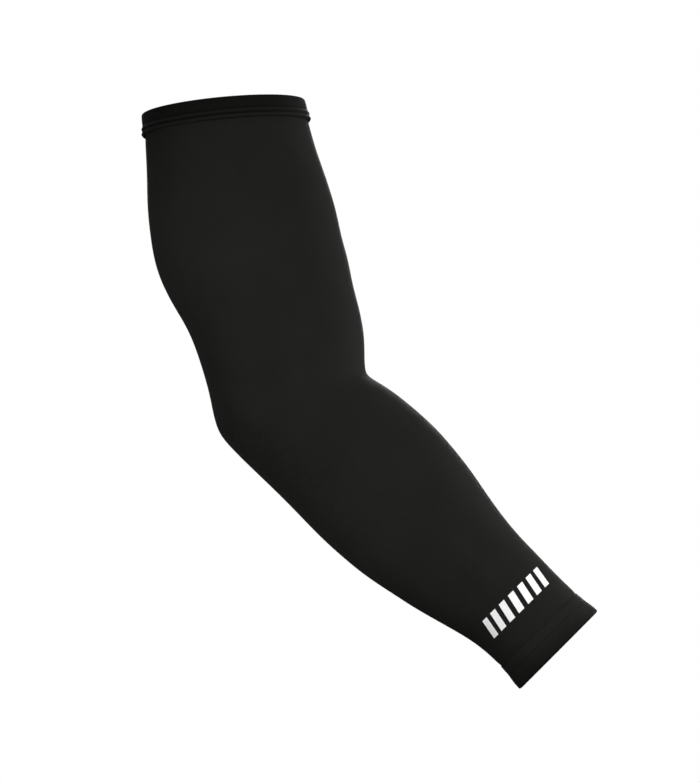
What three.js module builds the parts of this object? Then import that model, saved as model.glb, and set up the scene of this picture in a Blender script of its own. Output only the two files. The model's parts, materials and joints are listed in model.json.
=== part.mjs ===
// Long arm sleeve of stretch knit, standing in the form that it has on a bent arm.
// Millimetres, +Z up. The origin lies on the sleeve's axis, in the middle of the elbow.
// The upper arm rises from it, the forearm leads down toward +X, and the front faces -Y.

import * as THREE from 'three';
import { LoftGeometry } from 'three/addons/geometries/LoftGeometry.js';

// Driving dimensions

const sleeveLength = 416; // along the axis, from the top edge to the wrist edge
const elbowAt = 0.451; // share of the length at which the elbow lies

const clothWall = 1.0; // one layer of the knit
const clearance = 0.3; // between a folded edge and the cloth that it holds

// Girths of the arm: wide across the bend of the elbow, deep from front to back
const rim = { wide: 99, deep: 86 };
const biceps = { wide: 117.5, deep: 94 };
const elbow = { wide: 99.5, deep: 84 };
const forearm = { wide: 98.5, deep: 83 };
const wrist = { wide: 64.5, deep: 49 };

const bandDepth = 14.1; // folded band round the upper arm
const bandWall = 1.4; // its outer layer
const bandTurnIn = 0.9; // its inner layer
const bandRidge = 0.7; // how far its two stitched ridges stand up
const bandRidgeSpacing = 3.15;
const bandFaceDepth = 7.7; // plain face above the ridges

const hemDepth = 18.1; // turned hem round the wrist
const hemWall = 1.0;
const hemTurnIn = 0.9;
const hemSink = 1.0; // how far the sleeve's cloth is drawn in under the hem
const hemSinkRun = 4.5;
const hemSwell = 0.9; // how far the soft fold at the wrist edge puffs out
const hemStitchDip = 0.15; // how far its two rows of stitches draw it in
const hemStitchSpacing = 6.6;

const facetsAround = 36;
const ringStep = 10; // longest distance between two rings of the sleeve

// Sections from the top edge to the wrist edge. "at" is a share of the sleeve's length,
// "wide" and "deep" are shares of the girth named in the row, "heading" is the way that the
// axis runs and "tilt" the slope of the section, both in degrees from level or upright.
const sections = [
  { at: 0.0, heading: 10.5, tilt: 5.5, girth: rim, wide: 1.0, deep: 1.0 },
  { at: 0.04, heading: 8, tilt: 5.8, girth: rim, wide: 1.04, deep: 1.03 },
  { at: 0.08, heading: 9, tilt: 8.5, girth: biceps, wide: 0.907, deep: 0.965 },
  { at: 0.14, heading: 11, tilt: 10.5, girth: biceps, wide: 0.97, deep: 0.99 },
  { at: 0.2, heading: 12, tilt: 12.5, girth: biceps, wide: 1.0, deep: 1.0 },
  { at: 0.26, heading: 23, tilt: 14.5, girth: biceps, wide: 0.97, deep: 0.985 },
  { at: 0.32, heading: 19, tilt: 16.5, girth: biceps, wide: 0.903, deep: 0.955 },
  { at: 0.38, heading: 13, tilt: 18.5, girth: elbow, wide: 1.042, deep: 1.03 },
  { at: 0.43, heading: 5.5, tilt: 20.5, girth: elbow, wide: 1.012, deep: 1.005 },
  { at: 0.45, heading: 14.5, tilt: 22, girth: elbow, wide: 1.0, deep: 1.0 },
  { at: 0.475, heading: 47, tilt: 26, girth: elbow, wide: 0.98, deep: 0.995 },
  { at: 0.51, heading: 50.5, tilt: 32, girth: elbow, wide: 0.973, deep: 0.99 },
  { at: 0.56, heading: 47.5, tilt: 38, girth: forearm, wide: 0.987, deep: 1.0 },
  { at: 0.63, heading: 45, tilt: 43, girth: forearm, wide: 1.0, deep: 1.0 },
  { at: 0.7, heading: 44.5, tilt: 45, girth: forearm, wide: 0.958, deep: 0.955 },
  { at: 0.78, heading: 46.5, tilt: 45, girth: forearm, wide: 0.838, deep: 0.84 },
  { at: 0.86, heading: 52.5, tilt: 44.6, girth: wrist, wide: 1.1, deep: 1.15 },
  { at: 0.93, heading: 47, tilt: 43.7, girth: wrist, wide: 1.003, deep: 1.02 },
  { at: 0.967, heading: 45.5, tilt: 44, girth: wrist, wide: 1.007, deep: 1.01 },
  { at: 1.0, heading: 44, tilt: 45, girth: wrist, wide: 1.03, deep: 0.91 },
];

// The smooth run of one column of the table, kept monotone between neighbouring rows
function column(valueOf) {
  const places = sections.map((row) => row.at);
  const values = sections.map(valueOf);
  const last = places.length - 1;
  const steps = places.slice(1).map((place, i) => place - places[i]);
  const slopes = steps.map((step, i) => (values[i + 1] - values[i]) / step);
  const tangents = places.map((_, i) => {
    if (i === 0) return slopes[0];
    if (i === last) return slopes[last - 1];
    if (slopes[i - 1] * slopes[i] <= 0) return 0;
    const before = 2 * steps[i] + steps[i - 1];
    const after = steps[i] + 2 * steps[i - 1];
    return (before + after) / (before / slopes[i - 1] + after / slopes[i]);
  });
  return (at) => {
    let i = 0;
    while (i < last - 1 && at > places[i + 1]) i += 1;
    const t = (at - places[i]) / steps[i];
    const ease = t * t * (3 - 2 * t);
    return (
      values[i] * (1 - ease) +
      values[i + 1] * ease +
      steps[i] * t * (1 - t) * (tangents[i] * (1 - t) - tangents[i + 1] * t)
    );
  };
}

const headingAt = column((row) => THREE.MathUtils.degToRad(row.heading));
const tiltAt = column((row) => THREE.MathUtils.degToRad(row.tilt));
const wideAt = column((row) => row.wide * row.girth.wide);
const deepAt = column((row) => row.deep * row.girth.deep);

// The axis: small steps along the heading, down from the middle of the top edge
const axisSteps = 400;
const axis = [new THREE.Vector3()];
for (let i = 0; i < axisSteps; i += 1) {
  const heading = headingAt((i + 0.5) / axisSteps);
  const step = new THREE.Vector3(Math.sin(heading), 0, -Math.cos(heading));
  axis.push(step.multiplyScalar(sleeveLength / axisSteps).add(axis[i]));
}

function axisPoint(at) {
  const i = Math.min(Math.floor(at * axisSteps), axisSteps - 1);
  return axis[i].clone().lerp(axis[i + 1], at * axisSteps - i);
}

const elbowPoint = axisPoint(elbowAt);

// One ring round the arm. "along" is measured on the axis from the top edge, and "out" is
// the distance outward from the sleeve's outer face. The angle starts at the inner side
// of the bend and turns toward the front.
function armRing({ along, out }) {
  const at = THREE.MathUtils.clamp(along / sleeveLength, 0, 1);
  const centre = axisPoint(at).sub(elbowPoint);
  const tilt = tiltAt(at);
  const across = new THREE.Vector3(Math.cos(tilt), 0, Math.sin(tilt));
  const front = new THREE.Vector3(0, -1, 0);
  const halfWide = wideAt(at) / 2;
  const halfDeep = deepAt(at) / 2;
  const ring = [];
  for (let i = 0; i < facetsAround; i += 1) {
    const angle = (i / facetsAround) * 2 * Math.PI;
    const facing = new THREE.Vector2(Math.cos(angle) / halfWide, Math.sin(angle) / halfDeep).normalize();
    ring.push(
      centre
        .clone()
        .addScaledVector(across, halfWide * Math.cos(angle) + out * facing.x)
        .addScaledVector(front, halfDeep * Math.sin(angle) + out * facing.y)
    );
  }
  return ring;
}

// A closed wall: a profile that returns to its start, carried once round the arm.
// The profile runs down its outer face and up its inner face.
function wall(profile) {
  const rings = profile.map(armRing);
  return new LoftGeometry([...rings, rings[0]]);
}

// How far the sleeve's cloth is drawn in at a place along it
const hemStart = sleeveLength - hemDepth;
function clothSink(along) {
  return hemSink * THREE.MathUtils.smoothstep(along, hemStart - hemSinkRun, hemStart);
}

// Rings within the hem, the same for its layers and for the cloth between them
const hemMiddles = [1 / 3, 2 / 3].map((share) => THREE.MathUtils.lerp(hemStart, sleeveLength, share));

function ringPlaces(from, to) {
  const marks = sections.map((row) => row.at * sleeveLength).filter((mark) => mark > from && mark < to);
  const stops = [from, ...marks, to];
  const places = [from];
  for (let i = 1; i < stops.length; i += 1) {
    const count = Math.ceil((stops[i] - stops[i - 1]) / ringStep);
    for (let k = 1; k <= count; k += 1) {
      places.push(THREE.MathUtils.lerp(stops[i - 1], stops[i], k / count));
    }
  }
  return places;
}

// The sleeve itself, one layer of knit that runs up into the band and down into the hem
function sleeveTube() {
  const top = bandWall + clearance;
  const bottom = sleeveLength - hemWall - clearance;
  const sink = [hemStart - hemSinkRun / 2, hemStart];
  const places = [...ringPlaces(top, hemStart - hemSinkRun), ...sink, ...hemMiddles, bottom];
  const outer = places.map((along) => ({ along, out: -clothSink(along) }));
  const inner = places.map((along) => ({ along, out: -clothSink(along) - clothWall })).reverse();
  return wall([...outer, ...inner]);
}

// The band: folded over the top edge, with a plain face above two stitched ridges
function bicepsBand() {
  const face = clearance + bandWall;
  const ridge = face + bandRidge;
  const inside = -clothWall - clearance;
  const insideFace = inside - bandTurnIn;
  const upperRidge = bandFaceDepth + bandRidgeSpacing / 2;
  const lowerRidge = upperRidge + bandRidgeSpacing;
  const foldUnder = bandWall;
  return wall([
    { along: 0, out: clearance + 0.3 * bandWall },
    { along: 0.2 * bandWall, out: face },
    { along: bandWall, out: face + 0.3 * bandRidge },
    { along: 0.5 * bandFaceDepth, out: face + 0.2 * bandRidge },
    { along: 0.85 * bandFaceDepth, out: face },
    { along: bandFaceDepth, out: face - 0.5 * bandRidge },
    { along: upperRidge, out: ridge },
    { along: (upperRidge + lowerRidge) / 2, out: face - 0.5 * bandRidge },
    { along: lowerRidge, out: ridge },
    { along: bandDepth - 0.35 * bandWall, out: face },
    { along: bandDepth, out: clearance + 0.5 * bandWall },
    { along: bandDepth - 0.1 * bandWall, out: clearance },
    { along: bandDepth / 2, out: clearance },
    { along: foldUnder, out: clearance },
    { along: foldUnder, out: inside },
    { along: bandDepth / 2, out: inside },
    { along: bandDepth - 0.3 * bandTurnIn, out: inside },
    { along: bandDepth, out: inside - 0.5 * bandTurnIn },
    { along: bandDepth - 0.3 * bandTurnIn, out: insideFace },
    { along: bandDepth / 2, out: insideFace },
    { along: bandWall, out: insideFace },
    { along: 0.2 * bandWall, out: insideFace + 0.4 * bandTurnIn },
    { along: 0, out: inside },
  ]);
}

// The hem: turned round the wrist edge, held by two rows of stitches, puffed at its fold
function wristHem() {
  const seat = clearance - hemSink;
  const face = seat + hemWall;
  const inside = -hemSink - clothWall - clearance;
  const insideFace = inside - hemTurnIn;
  const firstRow = hemStart + 0.8 * hemWall;
  const secondRow = firstRow + hemStitchSpacing;
  const edge = sleeveLength;
  const foldUnder = edge - hemWall;
  return wall([
    { along: hemStart, out: seat },
    { along: hemStart, out: face - 0.4 * hemWall },
    { along: firstRow, out: face - hemStitchDip },
    { along: (firstRow + secondRow) / 2, out: face + 0.2 * hemSwell },
    { along: secondRow, out: face + 0.3 * hemSwell - hemStitchDip },
    { along: secondRow + 0.25 * (edge - secondRow), out: face + 0.75 * hemSwell },
    { along: edge - 0.4 * (edge - secondRow), out: face + hemSwell },
    { along: edge - 1.8 * hemWall, out: face + hemSwell },
    { along: edge - 0.6 * hemWall, out: face + 0.8 * hemSwell },
    { along: edge - 0.1 * hemWall, out: face },
    { along: edge, out: seat },
    { along: edge, out: inside },
    { along: edge - 0.3 * hemWall, out: insideFace + 0.3 * hemTurnIn },
    { along: edge - hemWall, out: insideFace },
    { along: hemMiddles[1], out: insideFace },
    { along: hemMiddles[0], out: insideFace },
    { along: hemStart + 0.3 * hemTurnIn, out: insideFace },
    { along: hemStart, out: inside - 0.5 * hemTurnIn },
    { along: hemStart + 0.3 * hemTurnIn, out: inside },
    { along: hemMiddles[0], out: inside },
    { along: hemMiddles[1], out: inside },
    { along: foldUnder, out: inside },
    { along: foldUnder, out: seat },
    { along: hemMiddles[1], out: seat },
    { along: hemMiddles[0], out: seat },
  ]);
}

const knit = new THREE.MeshStandardMaterial({ color: 0x1d1d1e, roughness: 0.82, metalness: 0 });
const bandKnit = new THREE.MeshStandardMaterial({ color: 0x161617, roughness: 0.88, metalness: 0 });
const hemKnit = new THREE.MeshStandardMaterial({ color: 0x1b1b1c, roughness: 0.85, metalness: 0 });

function piece(name, geometry, material) {
  const mesh = new THREE.Mesh(geometry, material);
  mesh.name = name;
  return mesh;
}

const armSleeve = new THREE.Group();
armSleeve.add(piece('sleeve_tube', sleeveTube(), knit));
armSleeve.add(piece('biceps_band', bicepsBand(), bandKnit));
armSleeve.add(piece('wrist_hem', wristHem(), hemKnit));

export default armSleeve;
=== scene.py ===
# Long arm sleeve in black stretch knit, in the bent form that it has when worn:
# the knit's looks, folds, stitches and print, with its light and camera.

import json
import math

import bpy
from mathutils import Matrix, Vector

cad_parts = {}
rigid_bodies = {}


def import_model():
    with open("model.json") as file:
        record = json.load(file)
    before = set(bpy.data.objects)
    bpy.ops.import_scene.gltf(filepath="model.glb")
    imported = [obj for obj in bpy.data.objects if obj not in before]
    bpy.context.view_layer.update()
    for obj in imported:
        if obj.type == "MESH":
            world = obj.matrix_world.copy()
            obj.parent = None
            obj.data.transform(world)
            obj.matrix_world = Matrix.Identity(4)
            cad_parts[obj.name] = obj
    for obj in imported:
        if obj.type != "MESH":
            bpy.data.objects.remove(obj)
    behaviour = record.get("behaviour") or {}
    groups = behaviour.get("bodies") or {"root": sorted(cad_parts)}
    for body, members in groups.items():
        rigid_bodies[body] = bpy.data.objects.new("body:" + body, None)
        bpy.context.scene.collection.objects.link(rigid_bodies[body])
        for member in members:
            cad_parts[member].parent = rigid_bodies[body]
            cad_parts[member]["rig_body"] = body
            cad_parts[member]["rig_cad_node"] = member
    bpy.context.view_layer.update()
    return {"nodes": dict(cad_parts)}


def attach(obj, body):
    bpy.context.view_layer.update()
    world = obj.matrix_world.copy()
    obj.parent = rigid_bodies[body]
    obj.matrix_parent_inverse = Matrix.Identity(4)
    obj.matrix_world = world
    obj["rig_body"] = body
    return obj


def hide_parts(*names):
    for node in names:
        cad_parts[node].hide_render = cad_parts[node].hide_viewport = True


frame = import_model()
scene = bpy.context.scene
print("frame loaded")


# Small helpers

def makeActive(piece):
    bpy.ops.object.select_all(action="DESELECT")
    piece.select_set(True)
    bpy.context.view_layer.objects.active = piece


def applyModifiers(piece):
    makeActive(piece)
    for name in [modifier.name for modifier in piece.modifiers]:
        bpy.ops.object.modifier_apply(modifier=name)


def selectWhere(piece, kind, test):
    # selects vertices, edges or faces by a test on each, and leaves the piece in edit mode
    makeActive(piece)
    bpy.ops.object.mode_set(mode="EDIT")
    bpy.ops.mesh.select_mode(type=kind)
    bpy.ops.mesh.select_all(action="DESELECT")
    bpy.ops.object.mode_set(mode="OBJECT")
    parts = {"VERT": piece.data.vertices, "EDGE": piece.data.edges, "FACE": piece.data.polygons}
    for part in parts[kind]:
        part.select = test(part)
    bpy.ops.object.mode_set(mode="EDIT")


def backToObject():
    bpy.ops.object.mode_set(mode="OBJECT")


def hangOnArm(piece, material):
    piece.data.materials.append(material)
    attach(piece, "root")
    print(piece.name, "made,", len(piece.data.polygons), "faces")


# The two ends: "tilt" is how far the edge's plane leans, "heading" the way of the arm there,
# and "side" is 1 at the upper end and -1 at the lower one

onPlane = 0.0002  # how near a plane a point counts as on it
ends = {
    "rim": {
        "solid": "biceps_band",
        "tilt": math.radians(5.5),
        "heading": math.radians(10),
        "side": 1,
    },
    "wrist": {
        "solid": "wrist_hem",
        "tilt": math.radians(45),
        "heading": math.radians(46),
        "side": -1,
    },
}


def tiltedNormal(tilt):
    return Vector((-math.sin(tilt), 0, math.cos(tilt)))


def edgeCentre(end):
    # the middle of the ring of points that lies furthest up or down across a tilt
    normal = tiltedNormal(end["tilt"]) * end["side"]
    points = [vertex.co for vertex in frame["nodes"][end["solid"]].data.vertices]
    reach = max(point.dot(normal) for point in points)
    ring = [point for point in points if point.dot(normal) > reach - onPlane]
    return sum(ring, Vector()) / len(ring)


def placeFromEnd(endName, depth):
    # a place on the arm's axis, at some depth into the sleeve from one of its ends
    end = ends[endName]
    way = Vector((math.sin(end["heading"]), 0, -math.cos(end["heading"]))) * end["side"]
    return edgeCentre(end) + way * depth


# Materials: the knit is drawn on the flat cloth's map, so that it follows the sleeve

def newMaterial(name):
    material = bpy.data.materials.new(name)
    material.use_nodes = True
    tree = material.node_tree
    return material, tree, tree.nodes["Principled BSDF"]


def maths(tree, operation, first, second=None):
    node = tree.nodes.new("ShaderNodeMath")
    node.operation = operation
    for socket, value in zip(node.inputs, (first, second)):
        if isinstance(value, (int, float)):
            socket.default_value = value
        elif value is not None:
            tree.links.new(value, socket)
    return node.outputs[0]


def noise(tree, scale, detail):
    places = tree.nodes.new("ShaderNodeTexCoord")
    texture = tree.nodes.new("ShaderNodeTexNoise")
    texture.inputs["Scale"].default_value = scale
    texture.inputs["Detail"].default_value = detail
    tree.links.new(places.outputs["Object"], texture.inputs["Vector"])
    return texture.outputs["Fac"]


def between(tree, share, low, high):
    node = tree.nodes.new("ShaderNodeMapRange")
    node.inputs["To Min"].default_value = low
    node.inputs["To Max"].default_value = high
    tree.links.new(share, node.inputs["Value"])
    return node.outputs["Result"]


def twoColours(tree, share, dark, light, places=(0.3, 0.7)):
    ramp = tree.nodes.new("ShaderNodeValToRGB")
    for stop, place, colour in zip(ramp.color_ramp.elements, places, (dark, light)):
        stop.position = place
        stop.color = (*colour, 1)
    tree.links.new(share, ramp.inputs["Fac"])
    return ramp.outputs["Color"]


def bump(tree, shader, height, relief):
    node = tree.nodes.new("ShaderNodeBump")
    node.inputs["Distance"].default_value = relief
    tree.links.new(height, node.inputs["Height"])
    tree.links.new(node.outputs["Normal"], shader.inputs["Normal"])


knitLook = {
    "dark": (0.0079, 0.0079, 0.0072),
    "light": (0.0121, 0.0121, 0.0110),
    "columnWidth": 0.0010,
    "rowHeight": 0.0008,
    "lean": 0.9,  # rows that each leg of a loop slants across
    "strandDepth": 0.25,
    "relief": 0.00006,
    # how much the tone follows soft patches, the yarn's fuzz and the loops
    "patchScale": 22,
    "patchShare": 0.6,
    "yarnScale": 900,
    "yarnShare": 0.25,
    "loopShare": 0.15,
    "roughness": (0.7, 0.82),
    "gloss": 0.08,
    "sheen": 0.02,
    "sheenRoughness": 0.45,
}


def knitHeight(tree, look):
    # columns of V-shaped loops: each leg is round and leans away from the column's middle
    flat = tree.nodes.new("ShaderNodeUVMap")
    flat.uv_map = "flatCloth"
    split = tree.nodes.new("ShaderNodeSeparateXYZ")
    tree.links.new(flat.outputs["UV"], split.inputs[0])
    column = maths(tree, "DIVIDE", split.outputs["X"], look["columnWidth"])
    row = maths(tree, "DIVIDE", split.outputs["Y"], look["rowHeight"])
    offMiddle = maths(tree, "SUBTRACT", maths(tree, "FRACT", column), 0.5)
    leg = maths(tree, "MULTIPLY", maths(tree, "ABSOLUTE", offMiddle), 2)
    legRound = maths(tree, "SINE", maths(tree, "MULTIPLY", leg, math.pi))
    slanted = maths(tree, "ADD", row, maths(tree, "MULTIPLY", leg, look["lean"]))
    strand = maths(tree, "SINE", maths(tree, "MULTIPLY", slanted, 2 * math.pi))
    strandPart = maths(tree, "MULTIPLY", strand, look["strandDepth"])
    strandShare = maths(tree, "ADD", strandPart, 1 - look["strandDepth"])
    return maths(tree, "MULTIPLY", legRound, strandShare)


def paintedLightByDepth(tree, end, paintedLightShares):
    # painted light and shade: a share from 0 to 1 that changes with the depth from an end, in metres, by
    # which the colour is darkened or lightened
    places = tree.nodes.new("ShaderNodeTexCoord")
    along = tree.nodes.new("ShaderNodeVectorMath")
    along.operation = "DOT_PRODUCT"
    inward = tiltedNormal(end["tilt"]) * -end["side"]
    along.inputs[1].default_value = inward
    tree.links.new(places.outputs["Object"], along.inputs[0])
    depth = maths(tree, "SUBTRACT", along.outputs["Value"], edgeCentre(end).dot(inward))
    ramp = tree.nodes.new("ShaderNodeValToRGB")
    ramp.color_ramp.interpolation = "EASE"
    longest = paintedLightShares[-1][0]
    while len(ramp.color_ramp.elements) < len(paintedLightShares):
        ramp.color_ramp.elements.new(0.5)  # anywhere: the stops get their places below
    for stop, (place, share) in zip(ramp.color_ramp.elements, paintedLightShares):
        stop.position = place / longest
        stop.color = (share, share, share, 1)
    tree.links.new(maths(tree, "DIVIDE", depth, longest), ramp.inputs["Fac"])
    return ramp.outputs["Color"]


def knitMaterial(name, look):
    material, tree, shader = newMaterial(name)
    height = knitHeight(tree, look)
    patches = noise(tree, look["patchScale"], detail=3)
    yarn = noise(tree, look["yarnScale"], detail=2)
    patchPart = maths(tree, "MULTIPLY", patches, look["patchShare"])
    yarnPart = maths(tree, "MULTIPLY", yarn, look["yarnShare"])
    loopPart = maths(tree, "MULTIPLY", height, look["loopShare"])
    tone = maths(tree, "ADD", maths(tree, "ADD", patchPart, yarnPart), loopPart)
    colour = twoColours(tree, tone, look["dark"], look["light"])
    # painted light and shade: the colour is multiplied by a share set by the depth from one end
    if "paintedLightShares" in look:
        paintedLightColour = tree.nodes.new("ShaderNodeVectorMath")
        paintedLightColour.operation = "MULTIPLY"
        tree.links.new(colour, paintedLightColour.inputs[0])
        tree.links.new(paintedLightByDepth(tree, ends[look["end"]], look["paintedLightShares"]), paintedLightColour.inputs[1])
        colour = paintedLightColour.outputs["Vector"]
    tree.links.new(colour, shader.inputs["Base Color"])
    tree.links.new(between(tree, patches, *look["roughness"]), shader.inputs["Roughness"])
    shader.inputs["Specular IOR Level"].default_value = look["gloss"]
    shader.inputs["Sheen Weight"].default_value = look["sheen"]
    shader.inputs["Sheen Roughness"].default_value = look["sheenRoughness"]
    bump(tree, shader, height, look["relief"])
    return material


# Cloth pieces: each is a copy of its solid, merged into quads and rounded

clothCopy = {
    "mergeDistance": 0.00001,
    "quadAngle": math.radians(75),
    "nearMiddle": 0.00005,  # how near the plane of the bend a point counts as on it
    "crossing": 0.0005,  # least reach, from front to back, of an edge that runs round the arm
    "ringSlope": 0.3,  # how steeply an edge of a ring may climb, for its length
    "frontShare": 0.2,  # how much lying at the front counts beside lying near the depth
    "rounding": 2,
}


def copyOfSolid(nodeName, pieceName):
    makeActive(frame["nodes"][nodeName])
    bpy.ops.object.duplicate()
    piece = bpy.context.active_object
    piece.name = pieceName
    piece.data.name = pieceName
    piece.parent = None
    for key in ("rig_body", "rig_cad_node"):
        del piece[key]
    piece.data.materials.clear()
    bpy.ops.object.mode_set(mode="EDIT")
    bpy.ops.mesh.select_all(action="SELECT")
    bpy.ops.mesh.customdata_custom_splitnormals_clear()
    bpy.ops.mesh.remove_doubles(threshold=clothCopy["mergeDistance"])
    quadAngle = clothCopy["quadAngle"]
    bpy.ops.mesh.tris_convert_to_quads(face_threshold=quadAngle, shape_threshold=quadAngle)
    backToObject()
    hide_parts(nodeName)
    return piece


def selectLoop(piece, isCandidate, rank):
    # selects the whole edge loop that runs through the best of some edges
    points = piece.data.vertices

    def tips(edge):
        return [points[i].co for i in edge.vertices]

    candidates = [edge for edge in piece.data.edges if isCandidate(*tips(edge))]
    best = max(candidates, key=lambda edge: rank(*tips(edge))).index
    selectWhere(piece, "EDGE", lambda edge: edge.index == best)
    bpy.ops.mesh.loop_multi_select(ring=False)


def markLoop(piece, isCandidate, rank):
    selectLoop(piece, isCandidate, rank)
    bpy.ops.mesh.mark_seam()
    backToObject()


def selectRing(piece, endName, depth):
    # selects the ring on the outer face that lies nearest a depth from an end
    place = placeFromEnd(endName, depth)
    normal = tiltedNormal(ends[endName]["tilt"])

    def isAcross(a, b):
        climb = abs((a - b).dot(normal))
        return a.y < 0 and b.y < 0 and climb < clothCopy["ringSlope"] * (a - b).length

    def closeness(a, b):
        middle = (a + b) / 2
        return -abs((middle - place).dot(normal)) - clothCopy["frontShare"] * middle.y

    selectLoop(piece, isAcross, closeness)


def layFlat(piece, around, along, ringSide):
    # opens the tube down the back of the arm and round one ring, and lays its quads out
    # as flat cloth, one unit of the map to a metre
    near = clothCopy["nearMiddle"]
    crossing = clothCopy["crossing"]
    markLoop(piece, lambda a, b: max(abs(a.y), abs(b.y)) < near, lambda a, b: -(a.x + b.x))
    markLoop(piece, lambda a, b: abs(a.y - b.y) > crossing, lambda a, b: ringSide * (a.z + b.z))
    piece.data.uv_layers.new(name="flatCloth")
    faces = piece.data.polygons
    faces.active = max(faces, key=lambda face: face.center.x).index
    selectWhere(piece, "FACE", lambda face: True)
    bpy.ops.uv.reset()
    bpy.ops.uv.select_all(action="SELECT")
    bpy.ops.uv.follow_active_quads(mode="LENGTH_AVERAGE")
    backToObject()
    corners = [piece.data.vertices[i].co.y for i in faces[faces.active].vertices]
    turned = abs(corners[0] - corners[1]) < abs(corners[1] - corners[2])
    spots = piece.data.uv_layers["flatCloth"].data
    sizes = (along, around) if turned else (around, along)
    low = [min(spot.uv[i] for spot in spots) for i in (0, 1)]
    high = [max(spot.uv[i] for spot in spots) for i in (0, 1)]
    for spot in spots:
        x, y = [sizes[i] * (spot.uv[i] - low[i]) / (high[i] - low[i]) for i in (0, 1)]
        spot.uv = (y, x) if turned else (x, y)


def roundOff(piece):
    rounding = piece.modifiers.new("rounding", "SUBSURF")
    rounding.levels = clothCopy["rounding"]
    rounding.render_levels = clothCopy["rounding"]
    applyModifiers(piece)
    bpy.ops.object.shade_smooth()


# The sleeve: soft unevenness of the knit, and the faint folds and hollows of a bent arm

sleeveCloth = {
    "around": 0.29,
    "along": 0.832,  # down the outer face and up the inner one
    "unevenness": 0.0005,
    "unevenSize": 0.055,
    "onLine": 0.0022,  # how near a fold's line a point counts as on it
    # the cloth is drawn in just above the hem, and comes out again here by these lengths
    "hemRings": [{"depth": 0.0181, "out": 0.0006}, {"depth": 0.0203, "out": 0.00045}],
}

# Folds and hollows on the front, from one end to the other as (x, z) in metres. A depth below
# zero raises the cloth.
folds = {
    "elbowHollow": {"from": (-0.016, 0.002), "to": (0.006, -0.014), "depth": 0.0013, "reach": 0.024},
    "crossFold": {"from": (-0.030, 0.004), "to": (-0.010, 0.010), "depth": 0.0005, "reach": 0.007},
    "crossFoldEnd": {"from": (-0.009, 0.011), "to": (0.010, 0.018), "depth": 0.0006, "reach": 0.007},
    "crossFoldTail": {"from": (0.010, 0.018), "to": (0.017, 0.013), "depth": 0.0005, "reach": 0.006},
    "creaseFold": {"from": (0.046, 0.015), "to": (0.028, 0.010), "depth": 0.0009, "reach": 0.012},
    "bicepsHollow": {"from": (-0.026, 0.158), "to": (-0.006, 0.130), "depth": 0.0008, "reach": 0.022},
    "forearmRidge": {"from": (0.1023, -0.0971), "to": (0.1253, -0.1208), "depth": -0.0011, "reach": 0.010},
}
# The sleeve and its hem lie flatter along these lines, where the hand would lead out
wristPresses = {
    "lowSide": {"from": (0.1185, -0.1513), "to": (0.1439, -0.1756), "depth": 0.0010, "reach": 0.014},
    "edge": {"from": (0.148, -0.173), "to": (0.184, -0.137), "depth": 0.0015, "reach": 0.009},
}


def nearLine(point, start, end, width):
    # whether a point of the front lies near a line, seen from the front
    across = Vector((end[0] - start[0], end[1] - start[1]))
    offset = Vector((point.x - start[0], point.z - start[1]))
    share = min(max(offset.dot(across) / across.length_squared, 0), 1)
    return point.y < 0 and (offset - across * share).length < width


def pressFold(piece, fold):
    def isOnLine(vertex):
        return nearLine(vertex.co, fold["from"], fold["to"], sleeveCloth["onLine"])

    selectWhere(piece, "VERT", isOnLine)
    bpy.ops.transform.translate(
        value=(0, fold["depth"], 0),
        use_proportional_edit=True,
        proportional_edit_falloff="SMOOTH",
        proportional_size=fold["reach"],
    )
    backToObject()


def ruffleCloth(piece):
    # both walls of the thin cloth move the same way, because the ripple reads their place
    ripple = bpy.data.textures.new("clothRipple", "CLOUDS")
    ripple.noise_scale = sleeveCloth["unevenSize"]
    ripple.noise_depth = 1
    for axis in ("Y", "X"):
        uneven = piece.modifiers.new("uneven" + axis, "DISPLACE")
        uneven.texture = ripple
        uneven.direction = axis
        uneven.strength = sleeveCloth["unevenness"]
        uneven.mid_level = 0.5
    applyModifiers(piece)


def makeSleeve():
    sleeve = copyOfSolid("sleeve_tube", "sleeve_knit")
    layFlat(sleeve, sleeveCloth["around"], sleeveCloth["along"], 1)
    for ring in sleeveCloth["hemRings"]:
        selectRing(sleeve, "wrist", ring["depth"])
        bpy.ops.transform.shrink_fatten(value=ring["out"])
        backToObject()
    roundOff(sleeve)
    ruffleCloth(sleeve)
    for fold in [*folds.values(), *wristPresses.values()]:
        pressFold(sleeve, fold)
    hangOnArm(sleeve, knitMaterial("blackStretchKnit", knitLook))
    return sleeve


sleeve = makeSleeve()


# The band and the hem: "sharpRings" are the depths at which their edges stay crisp

bandCloth = {
    "around": 0.30,
    "along": 0.062,
    "end": "rim",
    "sharpRings": (0.0093, 0.0124),
    "sharpness": 0.6,
}
bandLook = {
    **knitLook,
    "dark": (0.0068, 0.0068, 0.0059),
    "light": (0.0108, 0.0108, 0.0094),
    "rowHeight": 0.0006,
    "sheen": 0.03,
    "end": "rim",
    # painted light and shade: share of the colour at each depth, with a painted highlight on the two
    # ridges, painted shade in the grooves and a painted shadow under the band's lower edge
    "paintedLightShares": [
        (0.0, 0.33), (0.0068, 0.38), (0.0077, 0.17), (0.0093, 0.90), (0.0100, 0.42),
        (0.01085, 0.18), (0.0124, 1.00), (0.0130, 0.66), (0.0139, 0.12),
    ],
}
hemCloth = {
    "around": 0.185,
    "along": 0.080,
    "end": "wrist",
    "sharpRings": (0.0005,),
    "sharpness": 0.5,
}
hemLook = {
    **knitLook,
    "dark": (0.0080, 0.0080, 0.0071),
    "light": (0.0125, 0.0125, 0.0110),
    "end": "wrist",
    # painted shade: the colour grows darker toward the hem's folded edge
    "paintedLightShares": [(0.0, 0.45), (0.0015, 0.66), (0.0045, 0.88), (0.0090, 1.0), (0.0185, 1.0)],
}


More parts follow.
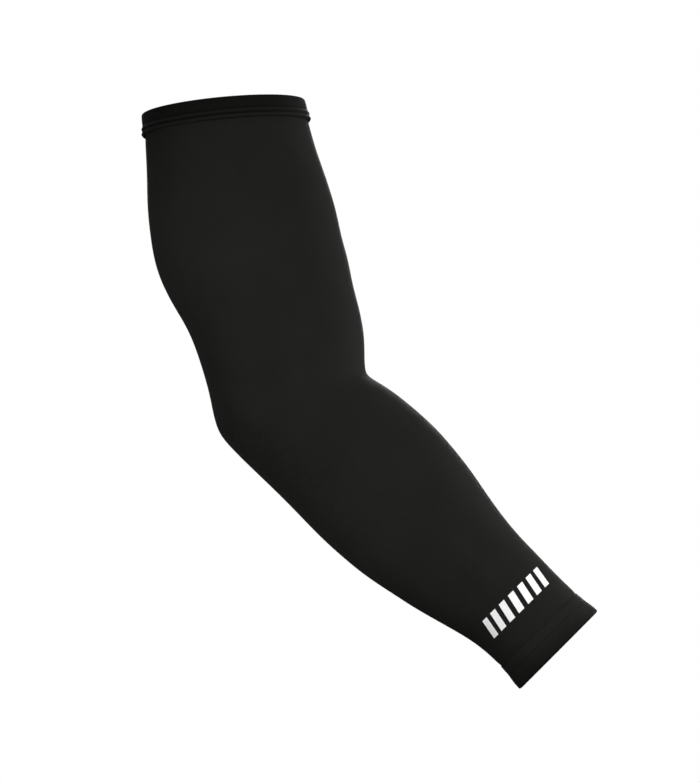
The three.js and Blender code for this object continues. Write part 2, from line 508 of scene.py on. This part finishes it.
def makeEdge(nodeName, pieceName, cloth, material, ringSide):
    edge = copyOfSolid(nodeName, pieceName)
    layFlat(edge, cloth["around"], cloth["along"], ringSide)
    for depth in cloth["sharpRings"]:
        selectRing(edge, cloth["end"], depth)
        bpy.ops.transform.edge_crease(value=cloth["sharpness"])
        backToObject()
    roundOff(edge)
    if cloth["end"] == "wrist":
        for fold in wristPresses.values():
            pressFold(edge, fold)
    hangOnArm(edge, material)
    return edge


bandKnit = knitMaterial("bandKnit", bandLook)
band = makeEdge("biceps_band", "upper_band", bandCloth, bandKnit, -1)
hemKnit = knitMaterial("hemKnit", hemLook)
hem = makeEdge("wrist_hem", "wrist_hem_fold", hemCloth, hemKnit, 1)


# Stitches: one is modelled, repeated along a curve and laid in rows round the band and hem

stitch = {
    "length": 0.0018,
    "pitch": 0.0029,
    "radius": 0.00026,
    "sides": 6,
    "rings": 5,
}
stitchRows = {
    "band_stitch_upper": {"cloth": band, "end": "rim", "depth": 0.0077, "tilt": math.radians(5.7)},
    "band_stitch_lower": {"cloth": band, "end": "rim", "depth": 0.01085, "tilt": math.radians(5.7)},
    "hem_stitch_upper": {"cloth": hem, "end": "wrist", "depth": 0.0173, "tilt": math.radians(43.9)},
    "hem_stitch_lower": {"cloth": hem, "end": "wrist", "depth": 0.0107, "tilt": math.radians(44.1)},
}
threadLook = {
    "dark": (0.0022, 0.0022, 0.0022),
    "light": (0.0050, 0.0050, 0.0050),
    "twist": 2600,
    "wobble": 1.5,
    "roughness": (0.5, 0.7),
    "gloss": 0.06,
    "relief": 0.00004,
}


def threadMaterial():
    material, tree, shader = newMaterial("sewingThread")
    places = tree.nodes.new("ShaderNodeTexCoord")
    twist = tree.nodes.new("ShaderNodeTexWave")
    twist.bands_direction = "DIAGONAL"
    twist.inputs["Scale"].default_value = threadLook["twist"]
    twist.inputs["Distortion"].default_value = threadLook["wobble"]
    tree.links.new(places.outputs["Object"], twist.inputs["Vector"])
    ply = twist.outputs["Fac"]
    colour = twoColours(tree, ply, threadLook["dark"], threadLook["light"])
    tree.links.new(colour, shader.inputs["Base Color"])
    tree.links.new(between(tree, ply, *threadLook["roughness"]), shader.inputs["Roughness"])
    shader.inputs["Specular IOR Level"].default_value = threadLook["gloss"]
    bump(tree, shader, ply, threadLook["relief"])
    return material


def sectionCurve(piece, place, normal):
    # the outermost line where a plane cuts the piece, as a closed curve
    makeActive(piece)
    bpy.ops.object.duplicate()
    section = bpy.context.active_object
    section.parent = None
    bpy.ops.object.mode_set(mode="EDIT")
    bpy.ops.mesh.select_all(action="SELECT")
    bpy.ops.mesh.bisect(plane_co=place, plane_no=normal, clear_inner=True, clear_outer=True)
    backToObject()
    front = min(section.data.vertices, key=lambda vertex: vertex.co.y).index
    selectWhere(section, "VERT", lambda vertex: vertex.index == front)
    bpy.ops.mesh.select_linked()
    bpy.ops.mesh.select_all(action="INVERT")
    bpy.ops.mesh.delete(type="VERT")
    backToObject()
    points = section.data.vertices
    pairs = [edge.vertices for edge in section.data.edges]
    length = sum((points[a].co - points[b].co).length for a, b in pairs)
    bpy.ops.object.convert(target="CURVE")
    return bpy.context.active_object, length


def makeStitchRow(rowName, row, material):
    place = placeFromEnd(row["end"], row["depth"])
    line, length = sectionCurve(row["cloth"], place, tiltedNormal(row["tilt"]))
    count = round(length / stitch["pitch"])
    bpy.ops.object.select_all(action="DESELECT")
    bpy.ops.mesh.primitive_uv_sphere_add(
        segments=stitch["sides"],
        ring_count=stitch["rings"],
        radius=stitch["radius"],
        rotation=(0, math.pi / 2, 0),
    )
    thread = bpy.context.active_object
    thread.name = rowName
    thread.data.name = rowName
    bpy.ops.object.transform_apply(rotation=True)
    bpy.ops.object.mode_set(mode="EDIT")
    bpy.ops.mesh.select_all(action="SELECT")
    bpy.ops.transform.resize(value=(stitch["length"] / 2 / stitch["radius"], 1, 1))
    backToObject()
    repeat = thread.modifiers.new("repeat", "ARRAY")
    repeat.count = count
    repeat.use_relative_offset = False
    repeat.use_constant_offset = True
    repeat.constant_offset_displace = (length / count, 0, 0)
    bend = thread.modifiers.new("bend", "CURVE")
    bend.object = line
    bend.deform_axis = "POS_X"
    applyModifiers(thread)
    bpy.ops.object.shade_smooth()
    bpy.data.objects.remove(line)
    hangOnArm(thread, material)
    return thread


threadFinish = threadMaterial()
threads = [makeStitchRow(name, row, threadFinish) for name, row in stitchRows.items()]


# The print near the wrist: a plain row of slanted bars in thin white film

printBars = {
    "count": 7,
    "centre": Vector((0.1383, 0, -0.1276)),
    "spacing": 0.0080,
    "width": 0.0046,
    "height": 0.0125,
    "slant": 0.22,
    "curveRadius": 0.034,  # of the wrist under it, round which the row is laid
    "film": 0.00012,
    "lift": 0.00008,
    "cuts": 9,
    "inFront": 0.08,  # how far before the arm's axis a bar starts on its way to the knit
    "smoothAngle": math.radians(40),
}
filmLook = {
    "dark": (0.88, 0.88, 0.88),
    "light": (0.95, 0.95, 0.95),
    "grainScale": 1400,
    "roughness": (0.42, 0.58),
    "relief": 0.00003,
}


def filmMaterial():
    material, tree, shader = newMaterial("whiteTransferFilm")
    grain = noise(tree, filmLook["grainScale"], detail=2)
    colour = twoColours(tree, grain, filmLook["dark"], filmLook["light"])
    tree.links.new(colour, shader.inputs["Base Color"])
    tree.links.new(between(tree, grain, *filmLook["roughness"]), shader.inputs["Roughness"])
    bump(tree, shader, grain, filmLook["relief"])
    return material


def makeFlatBar():
    # one bar lying flat: a plate slanted by its two ends, then cut fine enough to bend
    bpy.ops.object.select_all(action="DESELECT")
    bpy.ops.mesh.primitive_plane_add(size=1)
    bar = bpy.context.active_object
    bar.scale = (printBars["width"], printBars["height"], 1)
    bpy.ops.object.transform_apply(scale=True)
    for side in (-1, 1):
        selectWhere(bar, "VERT", lambda vertex: vertex.co.y * side > 0)
        aside = side * printBars["slant"] * printBars["height"] / 2
        bpy.ops.transform.translate(value=(aside, 0, 0))
        backToObject()
    selectWhere(bar, "FACE", lambda face: True)
    bpy.ops.mesh.subdivide(number_cuts=printBars["cuts"])
    backToObject()
    return bar


def layBar(flatBar, index, material):
    # a copy of the bar, set round the wrist and laid on the knit as a film with some thickness
    fromMiddle = index - (printBars["count"] - 1) / 2
    arc = fromMiddle * printBars["spacing"] / printBars["curveRadius"]
    tilt = ends["wrist"]["tilt"]
    across = Vector((math.cos(tilt), 0, math.sin(tilt)))
    aside = across * printBars["curveRadius"] * math.sin(arc)
    makeActive(flatBar)
    bpy.ops.object.duplicate()
    bar = bpy.context.active_object
    bar.name = f"print_bar_{index + 1}"
    bar.data.name = bar.name
    bar.scale = (math.cos(arc), 1, 1)
    bar.rotation_euler = (math.pi / 2, -tilt, 0)
    bar.location = printBars["centre"] + aside - Vector((0, printBars["inFront"], 0))
    bpy.ops.object.transform_apply(location=True, rotation=True, scale=True)
    lay = bar.modifiers.new("lay", "SHRINKWRAP")
    lay.target = sleeve
    lay.wrap_method = "PROJECT"
    lay.use_project_y = True
    lay.use_positive_direction = True
    lay.use_negative_direction = False
    lay.offset = printBars["lift"]
    film = bar.modifiers.new("film", "SOLIDIFY")
    film.thickness = printBars["film"]
    film.offset = 1
    applyModifiers(bar)
    bpy.ops.object.shade_smooth_by_angle(angle=printBars["smoothAngle"])
    hangOnArm(bar, material)
    return bar


filmFinish = filmMaterial()
flatBar = makeFlatBar()
bars = [layBar(flatBar, i, filmFinish) for i in range(printBars["count"])]
bpy.data.objects.remove(flatBar)


# Floor, light and camera

studio = {
    "floorHeight": -0.40,
    "floorSize": 16,
    "floorDark": (0.83, 0.83, 0.83),
    "floorLight": (0.86, 0.86, 0.86),
    "floorGrain": 3,
    "floorRoughness": 0.9,
    "glowNear": 0.45,
    "glowFar": 1.0,
    "backdrop": 1.0,
    "ambient": 0.05,
    "lampDistance": 3,
    "softness": math.radians(35),  # how wide each far lamp looks from the sleeve
}
# Soft lamps far away: "turn" goes from the front toward the right and "rise" upward, in degrees
farLamps = {
    "rightRim": {"turn": 120, "rise": 10, "strength": 0.24},
    "top": {"turn": 0, "rise": 80, "strength": 0.25},
    "back": {"turn": 180, "rise": 20, "strength": 0.90},
}
# Round soft boxes near the sleeve: their places and aims in metres, and their power in watts
softBoxes = {
    "front": {"at": (0, -0.50, 0.30), "aim": (-0.04, -0.03, 0.05), "size": 0.30, "power": 0.62},
    "right": {"at": (0.45, -0.50, 0), "aim": (0.08, -0.03, -0.06), "size": 0.30, "power": 2.98},
    "low": {"at": (-0.06, -0.12, -0.22), "aim": (0.06, -0.03, -0.10), "size": 0.10, "power": 0.19},
    "nearLeft": {"at": (-0.15, -0.22, 0.04), "aim": (-0.03, -0.03, 0.04), "size": 0.12, "power": 0.13},
    "left": {"at": (-0.22, -0.12, 0.04), "aim": (-0.06, -0.03, 0.06), "size": 0.12, "power": 0.13},
    "behindRight": {"at": (0.35, 0.10, 0), "aim": (0.08, 0, -0.06), "size": 0.15, "power": 0.17},
}


def makeFloor():
    bpy.ops.object.select_all(action="DESELECT")
    bpy.ops.mesh.primitive_plane_add(size=studio["floorSize"], location=(0, 0, studio["floorHeight"]))
    floor = bpy.context.active_object
    floor.name = "studio_floor"
    material, tree, shader = newMaterial("paleFloor")
    grain = noise(tree, studio["floorGrain"], detail=4)
    colour = twoColours(tree, grain, studio["floorDark"], studio["floorLight"])
    tree.links.new(colour, shader.inputs["Base Color"])
    shader.inputs["Roughness"].default_value = studio["floorRoughness"]
    # it glows, from part strength near the middle to full white at its far edge, so that no horizon shows
    places = tree.nodes.new("ShaderNodeTexCoord")
    distance = tree.nodes.new("ShaderNodeVectorMath")
    distance.operation = "LENGTH"
    tree.links.new(places.outputs["Object"], distance.inputs[0])
    share = maths(tree, "DIVIDE", distance.outputs["Value"], studio["floorSize"] / 2)
    glow = between(tree, share, studio["glowNear"], studio["glowFar"])
    shader.inputs["Emission Color"].default_value = (1, 1, 1, 1)
    tree.links.new(glow, shader.inputs["Emission Strength"])
    floor.data.materials.append(material)
    # it only stands behind the sleeve, and neither lights it nor shades it
    floor.visible_diffuse = False
    floor.visible_glossy = False
    floor.visible_shadow = False


def makeWorld():
    # white behind the sleeve, and only a little light all round
    world = bpy.data.worlds.new("studioWorld")
    world.use_nodes = True
    scene.world = world
    tree = world.node_tree
    ways = tree.nodes.new("ShaderNodeLightPath")
    strength = between(tree, ways.outputs["Is Camera Ray"], studio["ambient"], studio["backdrop"])
    tree.nodes["Background"].inputs["Color"].default_value = (1, 1, 1, 1)
    tree.links.new(strength, tree.nodes["Background"].inputs["Strength"])


def makeFarLamp(name, lamp):
    turn = math.radians(lamp["turn"])
    rise = math.radians(lamp["rise"])
    level = Vector((math.sin(turn), -math.cos(turn), 0))
    toward = level * math.cos(rise) + Vector((0, 0, math.sin(rise)))
    bpy.ops.object.select_all(action="DESELECT")
    bpy.ops.object.light_add(type="SUN", location=toward * studio["lampDistance"])
    light = bpy.context.active_object
    light.name = name
    light.data.angle = studio["softness"]
    light.data.energy = lamp["strength"] * math.pi
    light.rotation_euler = (-toward).to_track_quat("-Z", "Y").to_euler()


def makeSoftBox(name, lamp):
    place = Vector(lamp["at"])
    bpy.ops.object.select_all(action="DESELECT")
    bpy.ops.object.light_add(type="AREA", location=place)
    light = bpy.context.active_object
    light.name = name
    light.data.shape = "DISK"
    light.data.size = lamp["size"]
    light.data.energy = lamp["power"]
    light.rotation_euler = (Vector(lamp["aim"]) - place).to_track_quat("-Z", "Y").to_euler()
    light.visible_camera = False


view = {
    "metresPerPixel": 0.00062,  # at the sleeve
    "imageHeight": 782,
    "distance": 3.0,
    "elevation": math.radians(-5.25),
    "target": Vector((0.03662, 0, 0.00438)),
    "sensor": 36,
    "farthest": 60,
}


def makeCamera():
    away = Vector((0, -math.cos(view["elevation"]), math.sin(view["elevation"])))
    bpy.ops.object.select_all(action="DESELECT")
    bpy.ops.object.camera_add(location=view["target"] + away * view["distance"])
    camera = bpy.context.active_object
    camera.name = "photoCamera"
    camera.rotation_euler = (-away).to_track_quat("-Z", "Y").to_euler()
    camera.data.sensor_width = view["sensor"]
    heightSeen = view["imageHeight"] * view["metresPerPixel"]
    camera.data.lens = view["sensor"] * view["distance"] / heightSeen
    camera.data.clip_end = view["farthest"]
    scene.camera = camera


makeFloor()
makeWorld()
for name, lamp in farLamps.items():
    makeFarLamp(name, lamp)
for name, lamp in softBoxes.items():
    makeSoftBox(name, lamp)
makeCamera()
scene.view_settings.view_transform = "Standard"
print("studio made")
